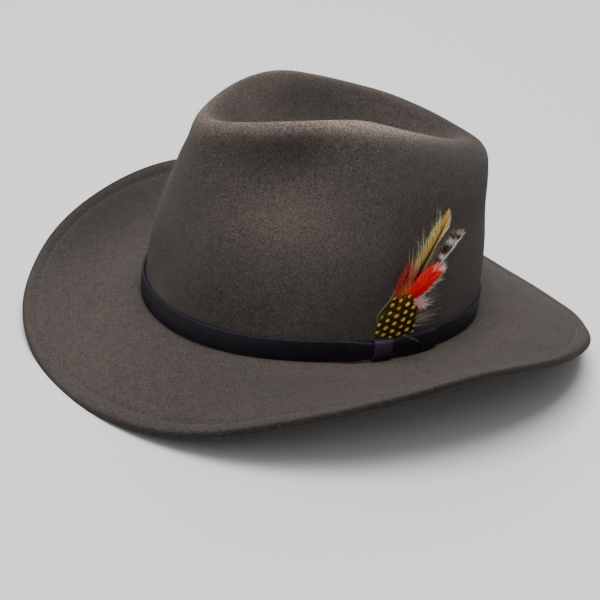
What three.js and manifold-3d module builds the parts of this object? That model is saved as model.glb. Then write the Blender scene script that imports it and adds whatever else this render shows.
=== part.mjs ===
// Bush hat: one piece of wool felt with a creased and pinched crown and a wide dipped brim, a thin
// leather strap with a keeper, and a bunch of feathers tucked behind the strap.
// Millimetres, +Z up, front of the hat along -Y, wearer's left along +X, standing on its brim on Z = 0.
import * as THREE from 'three';
import { mergeVertices } from 'three/addons/utils/BufferGeometryUtils.js';
import Module from 'manifold-3d';

const wasm = await Module();
wasm.setup();

// Felt
const HEAD_LONG = 201.6;
const HEAD_WIDE = 168.4;
const FELT = 2.1;
const CROWN_HIGH = 124;
const BRIM_REACH = 70.5;
const BREAK_SWAY = 2.6;
const FOLD_RADIUS = 1.8;
const BRIM_BOW = 1.6;
const EDGE_TURN = 9;
const EDGE_THICK = 4.2;
const GROOVE_DEEP = 0.45;
const REST_FLAT = 1.2;

// Strap and keeper
const FIT_GAP = 0.35;
const BAND_HIGH = 11.9;
const BAND_THICK = 1.6;
const BAND_ROUND = 0.4;
const TAIL_LONG = 32;
const KEEPER_AT = 82.5;
const KEEPER_LONG = 12;
const KEEPER_THICK = 0.9;

// Feathers
const PLUME_HIGH = 74;
const PLUME_STEP = 2.4;
const TONGUE_WIDE = 9;
const TONGUE_THICK = 0.8;
const BLADE_THICK = 1;

const FELT_COLUMNS = 64;

// The outside of the crown at the brim break: half its length and half its width.
const HALF_LONG = HEAD_LONG / 2 + FELT;
const HALF_WIDE = HEAD_WIDE / 2 + FELT;
const DEG = Math.PI / 180;

// Columns of the crown tables, in degrees round from the front: 90 is either side, 180 the back.
const CROWN_COLUMNS = [0, 20, 40, 70, 110, 145, 180];

// Height of the crown's ridge at each column, as a share of CROWN_HIGH.
const RIDGE_LINE = [0.936, 0.972, 0.998, 1.0, 0.934, 0.842, 0.758];

// One row for each line round the crown, from the brim break over the ridge down into the crease.
// high: height as a share of CROWN_HIGH. follow: how far the row drops with the ridge line.
// reach: distance from the axis as a share of the oval at the break. facets: steps up to the next row.
const CROWN_ROWS = [
  { name: 'break', high: 0, follow: 0, facets: 1, reach: [1, 1, 1, 1, 1, 1, 1] },
  { name: 'band', high: 0.1, follow: 0, facets: 2, reach: [1, 1.005, 1, 0.995, 1, 1, 1] },
  { name: 'low', high: 0.31, follow: 0, facets: 2, reach: [0.975, 0.998, 0.976, 0.967, 0.975, 0.985, 0.978] },
  { name: 'mid', high: 0.53, follow: 0, facets: 2, reach: [0.951, 0.937, 0.905, 0.913, 0.938, 0.946, 0.958] },
  { name: 'pinch', high: 0.73, follow: 0.35, facets: 2, reach: [0.951, 0.877, 0.73, 0.785, 0.881, 0.922, 0.948] },
  { name: 'under', high: 0.87, follow: 0.6, facets: 2, reach: [0.935, 0.788, 0.625, 0.65, 0.775, 0.888, 0.928] },
  { name: 'shoulder', high: 0.955, follow: 0.8, facets: 2, reach: [0.905, 0.755, 0.617, 0.58, 0.658, 0.805, 0.875] },
  { name: 'ridge', high: 1, follow: 1, facets: 2, reach: [0.851, 0.69, 0.578, 0.492, 0.547, 0.694, 0.795] },
  { name: 'lip', high: 0.958, follow: 1, facets: 3, reach: [0.735, 0.595, 0.503, 0.419, 0.472, 0.609, 0.71] },
  { name: 'wall', high: 0.84, follow: 0.7, facets: 2, reach: [0.52, 0.44, 0.395, 0.325, 0.356, 0.449, 0.524] },
  { name: 'floor', high: 0.77, follow: 0.5, facets: 2, reach: [0.3, 0.265, 0.25, 0.22, 0.23, 0.28, 0.32] },
  { name: 'centre', high: 0.745, follow: 0, facets: 0, reach: [0, 0, 0, 0, 0, 0, 0] },
];

// The brim by angle round from the front. rise: the edge over the break, as a share of the brim's
// width, dipped in front and behind. wide: the brim's width as a share of BRIM_REACH.
const BRIM_COLUMNS = [0, 30, 60, 90, 120, 150, 180];
const BRIM_RISE = [-0.368, -0.23, 0.127, 0.303, 0.138, -0.11, -0.248];
const BRIM_WIDE = [1, 1.015, 0.978, 1.006, 1, 1, 1.005];

// The two sides of the brim aren't quite alike: shares of the brim's width that one side is higher, and
// that the brim is twisted.
const SIDE_RISE = 0.025;
const TWIST_RISE = -0.042;

// Where the brim has its rings of facets between the fold and the turned edge, as shares of the way out.
const BRIM_RINGS = [0.08, 0.2, 0.35, 0.5, 0.65, 0.78];

// The turned edge, from the groove of the stitching round to the underside.
// inward: distance from the edge as a share of EDGE_TURN. groove: share of GROOVE_DEEP down from the
// top. thick: share of EDGE_THICK down from the top.
const EDGE_ROWS = [
  { inward: 1.28, groove: 0, thick: 0 },
  { inward: 1, groove: 1, thick: 0 },
  { inward: 0.76, groove: 0, thick: 0 },
  { inward: 0.26, groove: 0, thick: 0.05 },
  { inward: 0.05, groove: 0, thick: 0.27 },
  { inward: 0, groove: 0, thick: 0.5 },
  { inward: 0.05, groove: 0, thick: 0.75 },
  { inward: 0.26, groove: 0, thick: 0.96 },
  { inward: 0.55, groove: 0, thick: 1 },
  { inward: 0.9, groove: 0, thick: 1 },
];
const UNDER_TURN = 1.12;

// The feathers. Places are shares of PLUME_HIGH from the middle of the strap's top edge behind the
// plume: along runs round the crown towards the back, up is height, out is distance off the felt.
// wide is the greatest width and full its place along the feather. bow curves it off the felt and
// sweep along the strap.
const FEATHERS = [
  { name: 'hackle', along: [-0.02, 0.18], up: [0.02, 1], out: [0.012, 0.1], wide: 0.15, full: 0.62, bow: 0.03, sweep: 0 },
  { name: 'barred', along: [0, 0.36], up: [0.02, 0.84], out: [0.014, 0.085], wide: 0.1, full: 0.8, bow: 0.01, sweep: 0 },
  { name: 'red_back', along: [-0.05, -0.08], up: [0.02, 0.62], out: [0.016, 0.06], wide: 0.13, full: 0.55, bow: 0.03, sweep: -0.03 },
  { name: 'red_front', along: [-0.05, 0.2], up: [0.03, 0.6], out: [0.018, 0.1], wide: 0.16, full: 0.62, bow: 0.05, sweep: 0 },
  { name: 'fluff', along: [0, 0.24], up: [0.02, 0.33], out: [0.02, 0.07], wide: 0.11, full: 0.6, bow: 0.03, sweep: 0.02 },
  { name: 'wisps', along: [0.03, 0.29], up: [0.02, 0.16], out: [0.016, 0.07], wide: 0.07, full: 0.6, bow: 0.02, sweep: 0 },
  { name: 'guinea', along: [-0.03, -0.12], up: [0.03, 0.39], out: [0.022, 0.085], wide: 0.31, full: 0.42, bow: 0.05, sweep: 0 },
  { name: 'quill', along: [-0.05, -0.157], up: [0.03, 0.48], out: [0.012, 0.035], wide: 0.02, full: 0.5, bow: 0.01, sweep: -0.17 },
];
const BLADE_STEPS = 7;

// Smooth curve through the knots, with given or one-sided slopes at its ends.
function hermite(xs, ys, x, startSlope, endSlope) {
  const last = xs.length - 1;
  const at = Math.min(Math.max(x, xs[0]), xs[last]);
  let i = 0;
  while (i < last - 1 && at > xs[i + 1]) i += 1;
  const slope = (k) => {
    if (k === 0) return startSlope ?? (ys[1] - ys[0]) / (xs[1] - xs[0]);
    if (k === last) return endSlope ?? (ys[last] - ys[last - 1]) / (xs[last] - xs[last - 1]);
    const before = xs[k] - xs[k - 1];
    const after = xs[k + 1] - xs[k];
    return ((ys[k] - ys[k - 1]) / before * after + (ys[k + 1] - ys[k]) / after * before) / (before + after);
  };
  const h = xs[i + 1] - xs[i];
  const u = (at - xs[i]) / h;
  return (2 * u ** 3 - 3 * u ** 2 + 1) * ys[i] + (u ** 3 - 2 * u ** 2 + u) * h * slope(i)
    + (3 * u ** 2 - 2 * u ** 3) * ys[i + 1] + (u ** 3 - u ** 2) * h * slope(i + 1);
}

// Value of a table at an angle. Both sides of the hat are alike.
function around(columns, values, t) {
  const turned = Math.abs(((t + 180) % 360 + 360) % 360 - 180);
  return hermite(columns, values, turned, 0, 0);
}

function breakHeight(t) {
  return -BREAK_SWAY * Math.cos(2 * t * DEG);
}

// Outward direction, level, of the oval at the brim break.
function outward(t) {
  const n = new THREE.Vector3(HALF_LONG * Math.sin(t * DEG), -HALF_WIDE * Math.cos(t * DEG), 0);
  return n.normalize();
}

// Point on the outside of the crown: row runs from 0 at the break to the middle of the crease.
const TOP_ROW = CROWN_ROWS.length - 1;
const ROW_NUMBERS = CROWN_ROWS.map((row, k) => k);
function crownPoint(t, row) {
  const drop = 1 - around(CROWN_COLUMNS, RIDGE_LINE, t);
  const fade = CROWN_ROWS.map((r) => Math.max(0, 1 - r.high / CROWN_ROWS[3].high));
  const reach = hermite(ROW_NUMBERS, CROWN_ROWS.map((r) => around(CROWN_COLUMNS, r.reach, t)), row);
  const heights = CROWN_ROWS.map((r, k) => CROWN_HIGH * (r.high - r.follow * drop) + breakHeight(t) * fade[k]);
  const high = hermite(ROW_NUMBERS, heights, row, undefined, 0);
  return new THREE.Vector3(HALF_WIDE * reach * Math.sin(t * DEG), -HALF_LONG * reach * Math.cos(t * DEG), high);
}

// Point on the top of the brim: share runs from 0 at the break to 1 at the edge.
function brimPoint(t, share) {
  const uneven = SIDE_RISE * Math.sin(t * DEG) + TWIST_RISE * Math.sin(2 * t * DEG);
  const rise = around(BRIM_COLUMNS, BRIM_RISE, t) + uneven;
  const wide = BRIM_REACH * around(BRIM_COLUMNS, BRIM_WIDE, t);
  const run = Math.sqrt(1 - rise ** 2) * wide * share;
  const foot = new THREE.Vector3(HALF_WIDE * Math.sin(t * DEG), -HALF_LONG * Math.cos(t * DEG), breakHeight(t));
  foot.addScaledVector(outward(t), run);
  foot.z += rise * wide * share ** BRIM_BOW;
  return foot;
}

// The small round fold where the crown turns out into the brim.
const FOLD_SHARE = FOLD_RADIUS / BRIM_REACH;
const FOLD_ROW = FOLD_RADIUS / (CROWN_ROWS[1].high * CROWN_HIGH);
function foldPoint(t, share) {
  const wall = crownPoint(t, FOLD_ROW);
  const corner = brimPoint(t, 0);
  const brim = brimPoint(t, FOLD_SHARE);
  const a = wall.lerp(corner, share);
  return a.lerp(corner.clone().lerp(brim, share), share);
}

// Point below or above a surface, square to it. toEdge says which way the surface's own measure runs.
function offsetPoint(surface, t, at, distance, toEdge) {
  const small = 0.01;
  const round = surface(t + small, at).sub(surface(t - small, at));
  const out = surface(t, at + small).sub(surface(t, at - small)).multiplyScalar(toEdge);
  const normal = round.cross(out.negate()).normalize();
  return surface(t, at).addScaledVector(normal, distance);
}

// Rings of the outside from the middle of the crease out to the turned edge.
function feltRings() {
  const rings = [];
  for (let k = TOP_ROW - 1; k >= 0; k -= 1) {
    const { facets } = CROWN_ROWS[k];
    const from = k === 0 ? FOLD_ROW : k;
    for (let step = 1; step <= facets; step += 1) {
      rings.push({ surface: crownPoint, at: k + 1 - (k + 1 - from) * step / facets, toEdge: -1 });
    }
  }
  rings.push({ surface: foldPoint, at: 0.35, toEdge: 1 });
  rings.push({ surface: foldPoint, at: 0.7, toEdge: 1 });
  rings.push({ surface: brimPoint, at: FOLD_SHARE, toEdge: 1 });
  for (const share of BRIM_RINGS) {
    rings.push({ surface: brimPoint, at: share, toEdge: 1 });
  }
  return rings;
}

// The hat tips until the front and the back of the brim both touch, with its middle over the line
// between them, then stands on Z = 0.
function brimFoot(t) {
  const inward = EDGE_ROWS[7].inward * EDGE_TURN;
  return offsetPoint(brimPoint, t, 1 - inward / BRIM_REACH, -EDGE_ROWS[7].thick * EDGE_THICK, 1);
}
function tip(p, pitch, roll) {
  return p.clone().applyEuler(new THREE.Euler(pitch, roll, 0, 'XYZ'));
}
function touching(feet, pitch, roll) {
  const placed = feet.map((p) => tip(p, pitch, roll));
  const lowest = (side) => side.reduce((a, b) => (a.z < b.z ? a : b));
  return { front: lowest(placed.filter((p) => p.y < 0)), back: lowest(placed.filter((p) => p.y > 0)) };
}
function findPose() {
  const feet = [];
  for (let t = 0; t < 360; t += 0.5) feet.push(brimFoot(t));
  let low = -4 * DEG;
  let high = 4 * DEG;
  let pose = { pitch: 0, roll: 0, lift: 0 };
  for (let pass = 0; pass < 16; pass += 1) {
    const roll = (low + high) / 2;
    let { pitch } = pose;
    let touch = touching(feet, pitch, roll);
    for (let step = 0; step < 5; step += 1) {
      pitch -= Math.atan2(touch.back.z - touch.front.z, touch.back.y - touch.front.y);
      touch = touching(feet, pitch, roll);
    }
    const { front, back } = touch;
    const offLine = (front.x * back.y - back.x * front.y) / (back.y - front.y);
    if (offLine > 0) high = roll;
    else low = roll;
    pose = { pitch, roll, lift: -Math.min(front.z, back.z) };
  }
  return { ...pose, lift: pose.lift - REST_FLAT };
}
const POSE = findPose();

// The middle of the hat's outline once it is tipped.
function findMiddle() {
  const across = [];
  const along = [];
  for (let j = 0; j < FELT_COLUMNS; j += 1) {
    const t = 360 * j / FELT_COLUMNS;
    for (const row of EDGE_ROWS) {
      const share = 1 - row.inward * EDGE_TURN / BRIM_REACH;
      const p = tip(offsetPoint(brimPoint, t, share, -row.thick * EDGE_THICK, 1), POSE.pitch, POSE.roll);
      across.push(p.x);
      along.push(p.y);
    }
  }
  const middle = (list) => (Math.min(...list) + Math.max(...list)) / 2;
  return new THREE.Vector3(middle(across), middle(along), -POSE.lift);
}
const MIDDLE = findMiddle();

function settle(p) {
  return tip(p, POSE.pitch, POSE.roll).sub(MIDDLE);
}

// The felt gives a little where it meets the surface that it stands on.
function press(p) {
  const placed = settle(p);
  placed.z = Math.max(placed.z, 0);
  return placed;
}

// Closed body from rings of points. A ring of one point is a pole.
function loft(rings, closed) {
  const points = [];
  const starts = rings.map((ring) => {
    const start = points.length;
    points.push(...ring);
    return start;
  });
  const index = [];
  const pairs = closed ? rings.length : rings.length - 1;
  for (let i = 0; i < pairs; i += 1) {
    const next = (i + 1) % rings.length;
    const a = rings[i].length;
    const b = rings[next].length;
    for (let j = 0; j < Math.max(a, b); j += 1) {
      const p = starts[i] + (j % a);
      const q = starts[i] + ((j + 1) % a);
      const r = starts[next] + (j % b);
      const s = starts[next] + ((j + 1) % b);
      if (a > 1) index.push(p, r, q);
      if (b > 1) index.push(q, r, s);
    }
  }
  const geometry = new THREE.BufferGeometry();
  geometry.setAttribute('position', new THREE.Float32BufferAttribute(points.flatMap((p) => p.toArray()), 3));
  geometry.setIndex(index);
  return geometry;
}

function feltBody() {
  const angles = Array.from({ length: FELT_COLUMNS }, (unused, j) => 360 * j / FELT_COLUMNS);
  const rings = feltRings();
  const skin = [[press(crownPoint(0, TOP_ROW))]];
  for (const ring of rings) {
    skin.push(angles.map((t) => press(ring.surface(t, ring.at))));
  }
  for (const row of EDGE_ROWS) {
    const share = 1 - row.inward * EDGE_TURN / BRIM_REACH;
    const down = row.groove * GROOVE_DEEP + row.thick * EDGE_THICK;
    skin.push(angles.map((t) => press(offsetPoint(brimPoint, t, share, -down, 1))));
  }
  const under = 1 - UNDER_TURN * EDGE_TURN / BRIM_REACH;
  skin.push(angles.map((t) => press(offsetPoint(brimPoint, t, under, -FELT, 1))));
  for (const ring of rings.toReversed()) {
    skin.push(angles.map((t) => press(offsetPoint(ring.surface, t, ring.at, -FELT, ring.toEdge))));
  }
  const middle = crownPoint(0, TOP_ROW);
  middle.z -= FELT;
  skin.push([press(middle)]);
  return loft(skin, false);
}

// Point at a height over the break and a distance off the outside of the crown's foot.
function wallPoint(t, high, off) {
  const floor = breakHeight(t);
  let low = 0;
  let top = 2;
  for (let pass = 0; pass < 30; pass += 1) {
    const half = (low + top) / 2;
    if (crownPoint(t, half).z - floor < high) low = half;
    else top = half;
  }
  const point = crownPoint(t, low);
  return point.addScaledVector(outward(t), off);
}

// Millimetres along the strap for a degree round the crown, on the wearer's left.
const DEGREE_LONG = HALF_LONG * DEG;
const KEEPER_START = KEEPER_AT - KEEPER_LONG / 2 / DEGREE_LONG;
const KEEPER_END = KEEPER_AT + KEEPER_LONG / 2 / DEGREE_LONG;
const PLUME_AT = KEEPER_END + (PLUME_STEP + TONGUE_WIDE / 2) / DEGREE_LONG;
const PLUME_END = PLUME_AT + TONGUE_WIDE / DEGREE_LONG;
const TAIL_END = KEEPER_END + TAIL_LONG / DEGREE_LONG;

// The strap's foot stands clear of the fold.
const BAND_LIFT = FOLD_RADIUS / 2;
const SQUEEZE = KEEPER_THICK + FIT_GAP;
const EASE = 14;

function smoothStep(x) {
  const u = Math.min(Math.max(x, 0), 1);
  return u * u * (3 - 2 * u);
}

// 1 between two angles, easing to 0 on both sides.
function between(t, start, end, ease) {
  return smoothStep((t - start) / ease + 1) * smoothStep((end - t) / ease + 1);
}

// Distance of the strap's inner face from the felt. It passes over the keeper's back and the feathers.
function bandInner(t) {
  const behind = Math.max(KEEPER_THICK, TONGUE_THICK) + FIT_GAP;
  return FIT_GAP + behind * between(t, KEEPER_START, PLUME_END, EASE);
}

// Thickness of the strap: doubled from the keeper to the end of the tail.
function bandThick(t) {
  const lapped = t <= TAIL_END ? between(t, KEEPER_START, TAIL_END, EASE) : 0;
  return BAND_THICK * (1 + lapped);
}

// The keeper draws the strap's edges in.
function bandFoot(t) {
  return BAND_LIFT + SQUEEZE * between(t, KEEPER_START, KEEPER_END, EASE / 2);
}
function bandTop(t) {
  return BAND_LIFT + BAND_HIGH - SQUEEZE * between(t, KEEPER_START, KEEPER_END, EASE / 2);
}

// Section of a strap or keeper: a rectangle with its outer corners eased.
function sectionPoints(t, foot, top, inner, outer, round) {
  return [
    wallPoint(t, foot, inner),
    wallPoint(t, foot, outer - round),
    wallPoint(t, foot + round, outer),
    wallPoint(t, top - round, outer),
    wallPoint(t, top, outer - round),
    wallPoint(t, top, inner),
  ];
}

function bandAngles() {
  const angles = Array.from({ length: FELT_COLUMNS }, (unused, j) => 360 * j / FELT_COLUMNS);
  const step = 0.05;
  angles.push(KEEPER_START, KEEPER_AT, KEEPER_END, PLUME_AT, PLUME_END, TAIL_END, TAIL_END + step);
  angles.sort((a, b) => a - b);
  return angles.filter((t, j) => j === 0 || t - angles[j - 1] > step / 2);
}

function hatBand() {
  const rings = bandAngles().map((t) => {
    const inner = bandInner(t);
    const outer = inner + bandThick(t);
    return sectionPoints(t, bandFoot(t), bandTop(t), inner, outer, BAND_ROUND).map(settle);
  });
  return loft(rings, true);
}

// The keeper wraps the strap, clear of it all round.
function bandKeeper() {
  const angles = [0, 0.25, 0.5, 0.75, 1].map((u) => KEEPER_START + (KEEPER_END - KEEPER_START) * u);
  const outside = [];
  const inside = [];
  for (const t of angles) {
    const bandOuter = bandInner(t) + bandThick(t);
    const foot = bandFoot(t) - FIT_GAP;
    const top = bandTop(t) + FIT_GAP;
    const inner = bandInner(t) - FIT_GAP;
    const outer = bandOuter + FIT_GAP;
    const wall = KEEPER_THICK;
    outside.push(sectionPoints(t, foot - wall, top + wall, inner - wall, outer + wall, wall));
    inside.push(sectionPoints(t, foot, top, inner, outer, BAND_ROUND));
  }
  const sections = [...outside.map((ring) => ring.map(settle)), ...inside.toReversed().map((ring) => ring.map(settle))];
  return loft(sections, true);
}

// The plume's own directions, from the strap's top edge behind it.
function plumePoint(along, up, out) {
  const t = PLUME_AT;
  const origin = wallPoint(t, BAND_LIFT + BAND_HIGH, 0);
  const away = outward(t);
  const round = new THREE.Vector3(-away.y, away.x, 0);
  origin.addScaledVector(round, along).addScaledVector(away, out);
  origin.z += up;
  return settle(origin);
}

function tongue() {
  const wide = TONGUE_WIDE / 2;
  const low = 3 - BAND_HIGH;
  const levels = [
    { up: low, half: wide * 0.5 },
    { up: low * 0.6, half: wide * 0.9 },
    { up: 0.03 * PLUME_HIGH, half: wide },
    { up: 0.06 * PLUME_HIGH, half: wide * 0.7 },
  ];
  const rings = levels.map(({ up, half }) => [
    plumePoint(-half, up, FIT_GAP),
    plumePoint(half, up, FIT_GAP),
    plumePoint(half, up, FIT_GAP + TONGUE_THICK),
    plumePoint(-half, up, FIT_GAP + TONGUE_THICK),
  ]);
  return capped(rings);
}

// Loft with flat ends.
function capped(rings) {
  const middle = (ring) => ring.reduce((sum, p) => sum.add(p), new THREE.Vector3()).divideScalar(ring.length);
  return loft([[middle(rings[0])], ...rings, [middle(rings[rings.length - 1])]], false);
}

// One feather: a thin cupped blade along a bowed middle line.
function blade(feather) {
  const rings = [];
  const mix = (pair, u) => (pair[0] + (pair[1] - pair[0]) * u) * PLUME_HIGH;
  const bend = (u) => Math.sin(Math.PI * u) * PLUME_HIGH;
  const lineAlong = (u) => mix(feather.along, u) + feather.sweep * bend(u);
  const lineUp = (u) => mix(feather.up, u);
  for (let step = 0; step <= BLADE_STEPS; step += 1) {
    const u = step / BLADE_STEPS;
    const swell = u < feather.full
      ? Math.sin(0.5 * Math.PI * u / feather.full)
      : Math.cos(0.5 * Math.PI * (u - feather.full) / (1 - feather.full));
    const half = Math.max(0.5 * feather.wide * PLUME_HIGH * Math.max(swell, 0) ** 0.8, BLADE_THICK * 0.7);
    const run = new THREE.Vector2(lineAlong(u + 0.01) - lineAlong(u - 0.01), lineUp(u + 0.01) - lineUp(u - 0.01));
    run.normalize();
    const out = mix(feather.out, u) + feather.bow * bend(u);
    const place = (across, lift) => plumePoint(
      lineAlong(u) + run.y * across * half,
      lineUp(u) - run.x * across * half,
      out + lift * BLADE_THICK - 0.12 * half * across ** 2 * smoothStep(u * 3),
    );
    rings.push([
      place(-1, 0),
      place(-0.55, -0.5),
      place(0.55, -0.5),
      place(1, 0),
      place(0.55, 0.5),
      place(-0.55, 0.5),
    ]);
  }
  return capped(rings);
}

function toSolid(geometry) {
  const plain = geometry.clone();
  plain.deleteAttribute('normal');
  plain.deleteAttribute('uv');
  const merged = mergeVertices(plain, 1e-4);
  return new wasm.Manifold(new wasm.Mesh({
    numProp: 3,
    vertProperties: new Float32Array(merged.attributes.position.array),
    triVerts: new Uint32Array(merged.index.array),
  }));
}

function fromSolid(solid) {
  const mesh = solid.getMesh();
  const geometry = new THREE.BufferGeometry();
  geometry.setAttribute('position', new THREE.BufferAttribute(new Float32Array(mesh.vertProperties), 3));
  geometry.setIndex(new THREE.BufferAttribute(new Uint32Array(mesh.triVerts), 1));
  return geometry;
}

function featherPlume() {
  let solid = toSolid(tongue());
  for (const feather of FEATHERS) {
    solid = solid.add(toSolid(blade(feather)));
  }
  return fromSolid(solid);
}

const hat = new THREE.Group();
function addPiece(name, geometry, look) {
  geometry.computeVertexNormals();
  const mesh = new THREE.Mesh(geometry, new THREE.MeshStandardMaterial(look));
  mesh.name = name;
  hat.add(mesh);
}

addPiece('felt_body', feltBody(), { color: 0x574e48, roughness: 0.95, metalness: 0 });
addPiece('hat_band', hatBand(), { color: 0x241f2c, roughness: 0.5, metalness: 0 });
addPiece('band_keeper', bandKeeper(), { color: 0x2a2431, roughness: 0.5, metalness: 0 });
addPiece('feather_plume', featherPlume(), { color: 0xa8823c, roughness: 0.8, metalness: 0 });

export default hat;
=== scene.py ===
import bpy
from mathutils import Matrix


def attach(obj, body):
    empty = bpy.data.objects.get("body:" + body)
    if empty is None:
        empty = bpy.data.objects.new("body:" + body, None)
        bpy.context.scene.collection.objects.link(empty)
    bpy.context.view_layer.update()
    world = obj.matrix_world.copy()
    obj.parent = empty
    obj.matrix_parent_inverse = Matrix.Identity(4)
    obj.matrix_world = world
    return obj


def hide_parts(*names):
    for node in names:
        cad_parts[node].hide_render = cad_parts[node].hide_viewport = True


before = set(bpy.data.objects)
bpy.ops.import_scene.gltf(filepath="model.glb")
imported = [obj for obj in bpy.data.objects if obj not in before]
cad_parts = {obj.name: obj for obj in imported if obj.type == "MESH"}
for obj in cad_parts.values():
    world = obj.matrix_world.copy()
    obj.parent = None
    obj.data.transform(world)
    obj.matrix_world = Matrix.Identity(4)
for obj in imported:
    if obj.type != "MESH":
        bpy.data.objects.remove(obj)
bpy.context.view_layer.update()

import math
import random

import bmesh
import bpy
import numpy as np
from mathutils import Matrix, Vector

# A wool felt bush hat with a leather strap and a bunch of feathers. Sizes are in millimetres and become
# metres as a piece is made. Angles round the hat start at its front; 90 is the wearer's left.
MM = 0.001

# Felt
HEAD_LONG, HEAD_WIDE, FELT = 201.6, 168.4, 2.1
CROWN_HIGH, BRIM_REACH, BREAK_SWAY = 124.0, 70.5, 2.6
FOLD_RADIUS, BRIM_BOW = 1.8, 1.6
EDGE_TURN, EDGE_THICK, REST_FLAT = 9.0, 4.2, 1.2
HALF_LONG, HALF_WIDE = HEAD_LONG / 2 + FELT, HEAD_WIDE / 2 + FELT

# Strap and keeper
FIT_GAP, BAND_HIGH, BAND_THICK = 0.35, 11.9, 1.6
TAIL_LONG, KEEPER_AT, KEEPER_LONG, KEEPER_THICK = 32.0, 82.5, 12.0, 0.9
BAND_LIFT, SQUEEZE, EASE, LAP_GAP = FOLD_RADIUS / 2, KEEPER_THICK + FIT_GAP, 14.0, 0.08

# Feathers
PLUME_STEP, TONGUE_WIDE, TONGUE_THICK = 2.4, 9.0, 0.8

DEGREE_LONG = math.radians(HALF_LONG)
KEEPER_START = KEEPER_AT - KEEPER_LONG / 2 / DEGREE_LONG
KEEPER_END = KEEPER_AT + KEEPER_LONG / 2 / DEGREE_LONG
PLUME_AT = KEEPER_END + (PLUME_STEP + TONGUE_WIDE / 2) / DEGREE_LONG
PLUME_END = PLUME_AT + TONGUE_WIDE / DEGREE_LONG
TAIL_END = KEEPER_END + TAIL_LONG / DEGREE_LONG

# Height of the ridge, then one row for each line round the crown: height, share of the ridge's drop that
# it follows, and reach from the axis, at the angles of CROWN_COLUMNS.
CROWN_COLUMNS = [0, 20, 40, 70, 110, 145, 180]
RIDGE_LINE = [0.936, 0.972, 0.998, 1.0, 0.934, 0.842, 0.758]
CROWN_ROWS = [
    (0, 0, [1, 1, 1, 1, 1, 1, 1]),
    (0.1, 0, [1, 1.005, 1, 0.995, 1, 1, 1]),
    (0.31, 0, [0.975, 0.998, 0.976, 0.967, 0.975, 0.985, 0.978]),
    (0.53, 0, [0.951, 0.937, 0.905, 0.913, 0.938, 0.946, 0.958]),
    (0.73, 0.35, [0.951, 0.877, 0.73, 0.785, 0.881, 0.922, 0.948]),
    (0.87, 0.6, [0.935, 0.788, 0.625, 0.65, 0.775, 0.888, 0.928]),
    (0.955, 0.8, [0.905, 0.755, 0.617, 0.58, 0.658, 0.805, 0.875]),
    (1, 1, [0.851, 0.69, 0.578, 0.492, 0.547, 0.694, 0.795]),
    (0.958, 1, [0.735, 0.595, 0.503, 0.419, 0.472, 0.609, 0.71]),
    (0.84, 0.7, [0.52, 0.44, 0.395, 0.325, 0.356, 0.449, 0.524]),
    (0.77, 0.5, [0.3, 0.265, 0.25, 0.22, 0.23, 0.28, 0.32]),
    (0.745, 0, [0, 0, 0, 0, 0, 0, 0]),
]
TOP_ROW = len(CROWN_ROWS) - 1
FOLD_ROW = FOLD_RADIUS / (CROWN_ROWS[1][0] * CROWN_HIGH)
FOLD_SHARE = FOLD_RADIUS / BRIM_REACH

# Rise of the brim's edge and the brim's width, by angle, and the little that its sides differ.
BRIM_COLUMNS = [0, 30, 60, 90, 120, 150, 180]
BRIM_RISE = [-0.368, -0.23, 0.127, 0.303, 0.138, -0.11, -0.248]
BRIM_WIDE = [1, 1.015, 0.978, 1.006, 1, 1, 1.005]
SIDE_RISE, TWIST_RISE = 0.025, -0.042

# The turned edge: distance in from the edge and depth below the top of the brim. The stitches lie in the
# soft valley at VALLEY.
EDGE_LINE = [
    (13.5, 0), (12, 0.03), (11, 0.12), (10.2, 0.3), (9.5, 0.52), (8.9, 0.62), (8.3, 0.52), (7.6, 0.26),
    (6.8, 0), (5.8, -0.22), (4.7, -0.3), (3.6, -0.2), (2.6, 0.04), (1.8, 0.34), (1.1, 0.76), (0.55, 1.28),
    (0.16, 1.85), (0, 2.5), (0.12, 3.1), (0.5, 3.6), (1.1, 3.95), (2, 4.15), (3.2, 4.2), (5, 4.2),
    (7, 4.2), (8.3, 4.1), (9, 3.85), (9.4, 3.35), (9.7, 2.8), (10.2, 2.35), (11.2, 2.12),
]
VALLEY = (8.9, 0.62)

# The part of the turned edge that touches the floor, as shares of EDGE_TURN and EDGE_THICK, and the most
# degrees that the hat rolls sideways to rest.
FOOT_IN, FOOT_DOWN, MOST_ROLL = 0.26, 0.96, 4

# Columns round the felt, and its rings on the crown, down its foot, round the fold and along the brim.
FELT_COLUMNS, CROWN_RINGS, FOOT_RINGS, BRIM_RINGS = 360, 120, 8, 34
FOLD_STEPS = (0.2, 0.4, 0.6, 0.8, 1.0)

# Stitches of the turned edge: their spacing, how far they stand over the valley, their half sizes and the
# least height over the floor at which one is made.
STITCH_STEP, STITCH_OVER, STITCH_HALF, STITCH_CLEAR = 4.2, 0.12, (1.45, 0.34, 0.3), 0.4

# Patches of painted highlight, then painted shade: strength, angle, width, measure, height, and whether on
# both sides.
PAINTED_LIGHT_SPOTS = (
    (0.1, 42, 28, 3.3, 0.9, True), (0.3, 0, 22, 6.6, 0.9, True),
    (0.1, 36, 16, 6.1, 0.5, False), (0.15, -42, 28, 8.3, 0.7, False),
)
PAINTED_SHADE_SPOTS = (
    (0.45, 34, 26, 4.9, 0.75, True), (0.46, 118, 42, 3.9, 1.8, True), (0.24, 175, 24, 6.6, 0.8, True),
    (0.3, 10, 30, 1.9, 1.4, True), (0.24, 100, 40, 8.6, 0.8, True), (0.45, -60, 30, -0.85, 0.45, False),
    (0.24, 125, 40, -0.8, 0.4, False), (0.13, 62, 52, -0.6, 0.5, False),
)


# Shapes


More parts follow.
